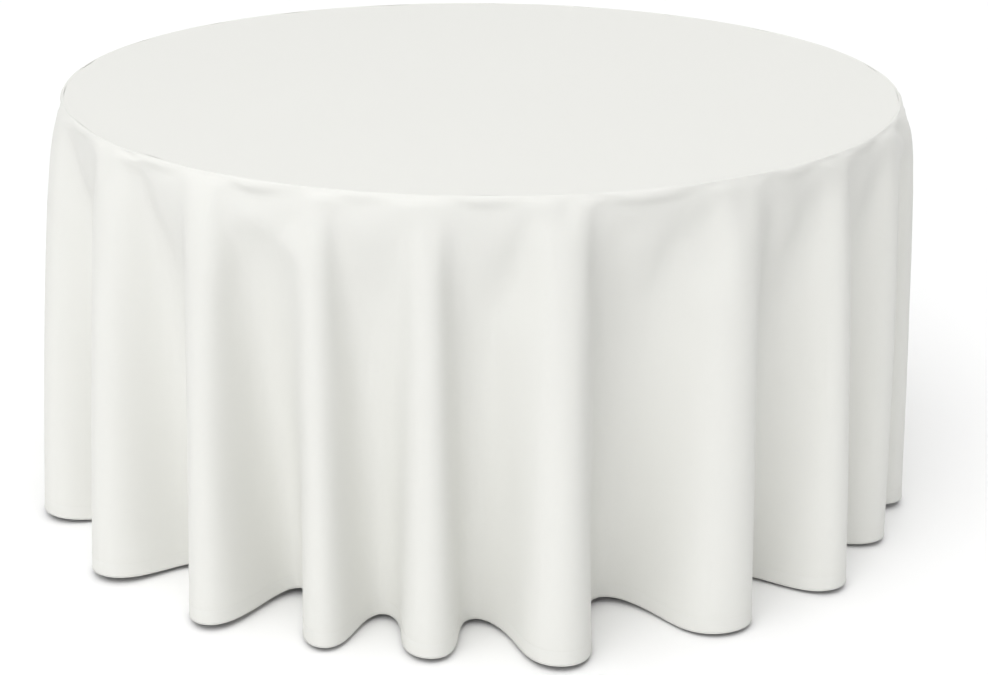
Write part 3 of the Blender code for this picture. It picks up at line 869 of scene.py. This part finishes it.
def stitch_tree(pitch, radius, material):
    """Geometry nodes that set one short thread after another along a closed line."""
    tree = bpy.data.node_groups.new("stitch_line", "GeometryNodeTree")
    face = tree.interface
    face.new_socket("Geometry", in_out="INPUT", socket_type="NodeSocketGeometry")
    given_pitch = face.new_socket("Pitch", in_out="INPUT", socket_type="NodeSocketFloat")
    given_radius = face.new_socket("Radius", in_out="INPUT", socket_type="NodeSocketFloat")
    face.new_socket("Geometry", in_out="OUTPUT", socket_type="NodeSocketGeometry")
    nodes, links = tree.nodes, tree.links
    given, result = nodes.new("NodeGroupInput"), nodes.new("NodeGroupOutput")
    curve = nodes.new("GeometryNodeMeshToCurve")
    spaced = nodes.new("GeometryNodeResampleCurve")
    spaced.mode = "LENGTH"
    tangent = nodes.new("GeometryNodeInputTangent")
    turn = nodes.new("FunctionNodeAlignRotationToVector")
    turn.axis = "Z"
    thread = nodes.new("GeometryNodeMeshCylinder")
    thread.inputs["Vertices"].default_value = 6
    thread.inputs["Side Segments"].default_value = 2
    place = nodes.new("GeometryNodeInstanceOnPoints")
    real = nodes.new("GeometryNodeRealizeInstances")
    finish = nodes.new("GeometryNodeSetMaterial")
    finish.inputs["Material"].default_value = material
    length = nodes.new("ShaderNodeMath")
    length.operation = "MULTIPLY"
    length.inputs[1].default_value = STITCH_SHARE
    links.new(given.outputs["Geometry"], curve.inputs["Mesh"])
    links.new(curve.outputs["Curve"], spaced.inputs["Curve"])
    links.new(given.outputs["Pitch"], spaced.inputs["Length"])
    links.new(given.outputs["Pitch"], length.inputs[0])
    links.new(length.outputs[0], thread.inputs["Depth"])
    links.new(given.outputs["Radius"], thread.inputs["Radius"])
    links.new(tangent.outputs[0], turn.inputs["Vector"])
    links.new(spaced.outputs["Curve"], place.inputs["Points"])
    links.new(thread.outputs["Mesh"], place.inputs["Instance"])
    links.new(turn.outputs[0], place.inputs["Rotation"])
    links.new(place.outputs[0], real.inputs[0])
    links.new(real.outputs[0], finish.inputs["Geometry"])
    links.new(finish.outputs[0], result.inputs[0])
    return tree, {given_pitch.identifier: pitch, given_radius.identifier: radius}


def with_tree(piece, tree, values):
    """Runs a geometry tree on a piece and keeps what it makes as a plain mesh."""
    modifier = piece.modifiers.new("nodes", "NODES")
    modifier.node_group = tree
    for identifier, value in values.items():
        modifier[identifier] = value
    piece.update_tag()
    return baked(piece)


def stitch_piece(line, settings):
    mesh = bpy.data.meshes.new("hem_stitches")
    count = len(line)
    edges = [(i, (i + 1) % count) for i in range(count)]
    mesh.from_pydata(line.tolist(), edges, [])
    piece = add_piece("hem_stitches", mesh)
    material = thread_material(settings.thread_colour)
    return with_tree(piece, *stitch_tree(settings.stitch_pitch, STITCH_RADIUS, material))


# ---------------------------------------------------------------- the table
class LINEN_OT_table(bpy.types.Operator):
    """Finishes the panel, its edge moulding and the battens under it"""

    bl_idname = "linen.table"
    bl_label = "Finish the table top"

    def execute(self, context):
        settings = context.scene.linen_table
        finish_node("panel", wood_material("plywood", settings.plywood, 15.0, 0.45, 0.42))
        pine = wood_material("pine", settings.pine, 9.0, 0.2, 0.55)
        for end in ENDS:
            finish_node(f"batten_{end}", pine)
        moulding = plastic_material("edge_moulding", settings.moulding, 0.42, 500.0)
        finish_node("edge_band", moulding)
        return {"FINISHED"}


class LINEN_OT_legs(bpy.types.Operator):
    """Finishes the leg frames in powder coat, adds their weld beads, and the feet"""

    bl_idname = "linen.legs"
    bl_label = "Finish the leg frames"

    def execute(self, context):
        settings = context.scene.linen_table
        paint = paint_material("frame_paint", settings.paint)
        rubber = plastic_material("foot_plastic", (0.028, 0.028, 0.028), 0.55, 800.0)
        weld = weld_material(settings.paint)
        for side in SIDES:
            for part in (f"hinge_bar_{side}", f"spreader_{side}"):
                finish_node(part, paint)
            for end in ENDS:
                finish_node(f"leg_{side}_{end}", paint)
                finish_node(f"brace_lug_{side}_{end}", paint)
                finish_node(f"foot_{side}_{end}", rubber)
            beads = weld_beads(side, weld)
            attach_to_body(beads, f"leg_frame_{side}")
        return {"FINISHED"}


def weld_tree(material):
    """Geometry nodes that lay a row of overlapping droplets along each line given."""
    tree = bpy.data.node_groups.new("weld_beads", "GeometryNodeTree")
    face = tree.interface
    face.new_socket("Geometry", in_out="INPUT", socket_type="NodeSocketGeometry")
    size = face.new_socket("Bead", in_out="INPUT", socket_type="NodeSocketFloat")
    face.new_socket("Geometry", in_out="OUTPUT", socket_type="NodeSocketGeometry")
    nodes, links = tree.nodes, tree.links
    given, result = nodes.new("NodeGroupInput"), nodes.new("NodeGroupOutput")
    curve = nodes.new("GeometryNodeMeshToCurve")
    spaced = nodes.new("GeometryNodeResampleCurve")
    spaced.mode = "LENGTH"
    spaced.inputs["Length"].default_value = BEAD_SPACING
    drop = nodes.new("GeometryNodeMeshIcoSphere")
    drop.inputs["Subdivisions"].default_value = 2
    vary = nodes.new("FunctionNodeRandomValue")
    vary.data_type = "FLOAT"
    vary.inputs[2].default_value = 0.85
    vary.inputs[3].default_value = 1.15
    vary.inputs["Seed"].default_value = 7
    place = nodes.new("GeometryNodeInstanceOnPoints")
    real = nodes.new("GeometryNodeRealizeInstances")
    smooth = nodes.new("GeometryNodeSetShadeSmooth")
    finish = nodes.new("GeometryNodeSetMaterial")
    finish.inputs["Material"].default_value = material
    links.new(given.outputs["Geometry"], curve.inputs["Mesh"])
    links.new(curve.outputs["Curve"], spaced.inputs["Curve"])
    links.new(given.outputs["Bead"], drop.inputs["Radius"])
    links.new(spaced.outputs["Curve"], place.inputs["Points"])
    links.new(drop.outputs["Mesh"], place.inputs["Instance"])
    links.new(vary.outputs[1], place.inputs["Scale"])
    links.new(place.outputs[0], real.inputs[0])
    links.new(real.outputs[0], smooth.inputs[0])
    links.new(smooth.outputs[0], finish.inputs["Geometry"])
    links.new(finish.outputs[0], result.inputs[0])
    return tree, {size.identifier: BEAD_RADIUS}


def middle(node):
    low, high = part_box(node)
    return (low + high) / 2


def tube_radius(node):
    """Of an upright tube, or of one that lies along Y."""
    low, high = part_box(node)
    return (high.x - low.x) / 2


def weld_beads(side, material):
    """Welds where the legs meet the hinge bar and the spreader, as one piece."""
    bar, spreader = middle(f"hinge_bar_{side}"), middle(f"spreader_{side}")
    seam = bar.z - tube_radius(f"hinge_bar_{side}")
    rod_radius = tube_radius(f"spreader_{side}")
    turns = [math.tau * i / 24 for i in range(24)]
    lines = []
    for end in ENDS:
        leg = middle(f"leg_{side}_{end}")
        radius = tube_radius(f"leg_{side}_{end}")
        ring = []
        for a in turns:
            x, y = math.cos(a) * radius * 1.02, math.sin(a) * radius * 1.02
            ring.append((leg.x + x, leg.y + y, seam - 0.0006))
        lines.append(ring)
        inward = -1 if leg.y > 0 else 1
        ring = []
        for a in turns:
            x, z = math.cos(a) * rod_radius * 1.04, math.sin(a) * rod_radius * 1.04
            reach = math.sqrt(max(radius**2 - x * x, 0.0)) if abs(x) < radius else 0.0
            y = leg.y + inward * max(reach, radius * 0.45)
            ring.append((spreader.x + x, y, spreader.z + z))
        lines.append(ring)
    points, edges = [], []
    for ring in lines:
        start = len(points)
        points += ring
        edges += [(start + i, start + (i + 1) % len(ring)) for i in range(len(ring))]
    mesh = bpy.data.meshes.new(f"weld_beads_{side}")
    mesh.from_pydata(points, edges, [])
    return with_tree(add_piece(f"weld_beads_{side}", mesh), *weld_tree(material))


class LINEN_OT_hardware(bpy.types.Operator):
    """Finishes clamps, brackets, braces, pins and rivets, and sets the screws"""

    bl_idname = "linen.hardware"
    bl_label = "Finish the hardware"

    def execute(self, context):
        zinc = zinc_material("zinc_steel")
        for side in SIDES:
            plated = [f"hinge_clamp_{side}_{end}" for end in ENDS]
            plated += [f"brace_bracket_{side}", f"bracket_pin_{side}", f"lug_pin_{side}"]
            plated += [f"brace_upper_{side}", f"brace_lower_{side}"]
            plated += [f"knuckle_rivet_{end}_{side}" for end in ENDS]
            for name in plated:
                finish_node(name, zinc)
        for kind, nodes in SCREWS.items():
            screws = screw_piece(kind, nodes, zinc)
            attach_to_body(screws, "table")
            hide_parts(*nodes)
        return {"FINISHED"}


def screw_pattern(low, high):
    """One pan-head screw with a cross recess, its head's seat at the origin."""
    head = (high.x - low.x) / 2
    length = high.z - low.z - SCREW_HEAD_THICK
    shank = head * SCREW_SHANK_SHARE
    profile = [(0.0, -SCREW_HEAD_THICK)]
    for turn in np.linspace(0.15, 1.0, 6):
        a = turn * math.pi / 2
        profile.append((head * math.sin(a), -SCREW_HEAD_THICK * (0.35 + 0.65 * math.cos(a))))
    profile += [(head, 0.0), (shank, 0.0)]
    turns = 9
    for n in range(turns):
        z = length * (0.12 + 0.72 * n / turns)
        profile += [(shank * 0.78, z), (shank, z + length * 0.03)]
    profile += [(shank * 0.75, length * 0.86), (0.0, length)]
    bm = bmesh.new()
    points = [bm.verts.new((r, 0, z)) for r, z in profile]
    edges = [bm.edges.new(pair) for pair in zip(points, points[1:])]
    bmesh.ops.spin(
        bm,
        geom=points + edges,
        cent=(0, 0, 0),
        axis=(0, 0, 1),
        angle=math.tau,
        steps=16,
        use_merge=True,
    )
    bmesh.ops.remove_doubles(bm, verts=bm.verts, dist=1e-6)
    bmesh.ops.recalc_face_normals(bm, faces=bm.faces)
    mesh = bpy.data.meshes.new("screw")
    bm.to_mesh(mesh)
    bm.free()
    screw = add_piece("screw_pattern", mesh)
    recess = recess_block(head)
    cut = screw.modifiers.new("recess", "BOOLEAN")
    cut.object = recess
    cut.solver = "EXACT"
    cut.use_self = True  # the recess is two bars that cross
    baked(screw)
    screw.data.shade_smooth()
    screw.data.set_sharp_from_angle(angle=math.radians(35))
    bpy.data.objects.remove(recess)
    return screw


def recess_block(head):
    """A tapered cross, which the driver's recess is cut with."""
    bm = bmesh.new()
    bar = Matrix.Diagonal((head * 1.05, head * 0.24, SCREW_HEAD_THICK, 1))
    for turn in (0.0, math.pi / 2):
        matrix = Matrix.Rotation(turn, 4, "Z") @ Matrix.Translation((0, 0, -SCREW_HEAD_THICK))
        block = bmesh.ops.create_cube(bm, size=1, matrix=matrix @ bar)
        for vertex in block["verts"]:
            if vertex.co.z > -SCREW_HEAD_THICK:
                vertex.co.x *= 0.45
                vertex.co.y *= 0.45
    mesh = bpy.data.meshes.new("recess")
    bm.to_mesh(mesh)
    bm.free()
    return add_piece("recess", mesh)


def screw_piece(kind, names, zinc):
    """One kind's screws, set at their places by geometry nodes, each turned by chance."""
    pattern = screw_pattern(*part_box(names[0]))
    seats = []
    for name in names:
        low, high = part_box(name)
        seats.append(((low.x + high.x) / 2, (low.y + high.y) / 2, low.z + SCREW_HEAD_THICK))
    mesh = bpy.data.meshes.new(f"{kind}_screws")
    mesh.from_pydata(seats, [], [])
    piece = add_piece(f"{kind}_screws", mesh)
    tree = bpy.data.node_groups.new("set_screws", "GeometryNodeTree")
    face = tree.interface
    face.new_socket("Geometry", in_out="INPUT", socket_type="NodeSocketGeometry")
    screw_slot = face.new_socket("Screw", in_out="INPUT", socket_type="NodeSocketObject")
    face.new_socket("Geometry", in_out="OUTPUT", socket_type="NodeSocketGeometry")
    nodes, links = tree.nodes, tree.links
    given, result = nodes.new("NodeGroupInput"), nodes.new("NodeGroupOutput")
    source = nodes.new("GeometryNodeObjectInfo")
    source.transform_space = "ORIGINAL"
    chance = nodes.new("FunctionNodeRandomValue")
    chance.data_type = "FLOAT_VECTOR"
    chance.inputs[0].default_value = (0, 0, 0)
    chance.inputs[1].default_value = (0, 0, math.tau)
    chance.inputs["Seed"].default_value = 3
    turn = nodes.new("FunctionNodeEulerToRotation")
    place = nodes.new("GeometryNodeInstanceOnPoints")
    real = nodes.new("GeometryNodeRealizeInstances")
    finish = nodes.new("GeometryNodeSetMaterial")
    finish.inputs["Material"].default_value = zinc
    links.new(given.outputs["Geometry"], place.inputs["Points"])
    links.new(given.outputs["Screw"], source.inputs["Object"])
    links.new(source.outputs["Geometry"], place.inputs["Instance"])
    links.new(chance.outputs[0], turn.inputs[0])
    links.new(turn.outputs[0], place.inputs["Rotation"])
    links.new(place.outputs[0], real.inputs[0])
    links.new(real.outputs[0], finish.inputs["Geometry"])
    links.new(finish.outputs[0], result.inputs[0])
    with_tree(piece, tree, {screw_slot.identifier: pattern})
    bpy.data.objects.remove(pattern)
    return piece


# ---------------------------------------------------------------- the stage
class LINEN_OT_stage(bpy.types.Operator):
    """Sets a pale floor, soft lights and the camera"""

    bl_idname = "linen.stage"
    bl_label = "Set the stage"

    def execute(self, context):
        scene = context.scene
        settings = scene.linen_stage
        bm = bmesh.new()
        bmesh.ops.create_grid(bm, x_segments=8, y_segments=8, size=12)
        mesh = bpy.data.meshes.new("studio_floor")
        bm.to_mesh(mesh)
        bm.free()
        floor = add_piece("studio_floor", mesh)
        material, tree, inputs, place = start_material("studio_floor", 0.9)
        tone = noise(tree, place, 0.6, 2.0)
        tree.links.new(
            mix_colour(tree, tone, shade(settings.floor, 0.99), settings.floor),
            inputs["Base Color"],
        )
        mesh.materials.append(material)
        add_lights(scene)
        add_camera(scene)
        return {"FINISHED"}


def add_lights(scene):
    """Soft light from the front left, from above and from behind, in a pale room."""
    world = bpy.data.worlds.new("studio")
    world.use_nodes = True
    backdrop = world.node_tree.nodes["Background"].inputs
    backdrop["Color"].default_value = (1, 1, 1, 1)
    backdrop["Strength"].default_value = 0.24
    scene.world = world
    lamps = (
        ("front", "SUN", 1.02, math.radians(60), (-0.9, -2.8, 1.6)),
        ("overhead", "SUN", 2.0, math.radians(70), (-0.3, -0.5, 3.0)),
        ("behind", "SUN", 0.60, math.radians(60), (1.6, 2.4, 1.8)),
        ("near", "AREA", 7.0, 2.0, (-2.1, -2.0, 2.6)),
    )
    for name, kind, strength, spread_out, place in lamps:
        lamp = bpy.data.lights.new(name, kind)
        lamp.energy = strength
        if kind == "SUN":
            lamp.angle = spread_out
        else:
            lamp.shape = "DISK"
            lamp.size = spread_out
        holder = bpy.data.objects.new(name, lamp)
        scene.collection.objects.link(holder)
        holder.location = place
        aim = Vector((0, 0, 0.2)) - Vector(place)
        holder.rotation_euler = aim.to_track_quat("-Z", "Y").to_euler()
    scene.view_settings.view_transform = "Standard"


def add_camera(scene):
    camera = bpy.data.cameras.new("camera")
    camera.lens = CAMERA_LENS
    camera.sensor_width = 36.0
    holder = bpy.data.objects.new("camera", camera)
    scene.collection.objects.link(holder)
    pitch, roll, yaw = (math.radians(a) for a in CAMERA_TURN)
    turn = Matrix.Rotation(yaw, 3, "Z") @ Matrix.Rotation(pitch, 3, "X")
    holder.rotation_euler = (turn @ Matrix.Rotation(roll, 3, "Z")).to_euler()
    holder.location = CAMERA_PLACE
    scene.camera = holder


# ---------------------------------------------------------------- the panel and main
class LINEN_PT_panel(bpy.types.Panel):
    """Settings and steps of the draped table"""

    bl_label = "Table linen"
    bl_idname = "LINEN_PT_panel"
    bl_space_type = "VIEW_3D"
    bl_region_type = "UI"
    bl_category = "Table Linen"

    def draw(self, context):
        scene = context.scene
        for group, steps in (
            (scene.linen_stage, (LINEN_OT_stage,)),
            (scene.linen_table, (LINEN_OT_table, LINEN_OT_legs, LINEN_OT_hardware)),
            (scene.linen_cloth, (LINEN_OT_cloth,)),
        ):
            box = self.layout.box()
            for name in group.__annotations__:
                box.prop(group, name)
            for step in steps:
                box.operator(step.bl_idname)


CLASSES = (
    ClothSettings,
    TableSettings,
    StageSettings,
    LINEN_OT_stage,
    LINEN_OT_table,
    LINEN_OT_legs,
    LINEN_OT_hardware,
    LINEN_OT_cloth,
    LINEN_PT_panel,
)


def register():
    for cls in CLASSES:
        bpy.utils.register_class(cls)
    bpy.types.Scene.linen_cloth = PointerProperty(type=ClothSettings)
    bpy.types.Scene.linen_table = PointerProperty(type=TableSettings)
    bpy.types.Scene.linen_stage = PointerProperty(type=StageSettings)


def unregister():
    for name in ("linen_cloth", "linen_table", "linen_stage"):
        delattr(bpy.types.Scene, name)
    for cls in reversed(CLASSES):
        bpy.utils.unregister_class(cls)


def main():
    register()
    bpy.ops.linen.stage()
    bpy.ops.linen.table()
    bpy.ops.linen.legs()
    bpy.ops.linen.hardware()
    bpy.ops.linen.cloth()


if __name__ == "__main__":
    main()
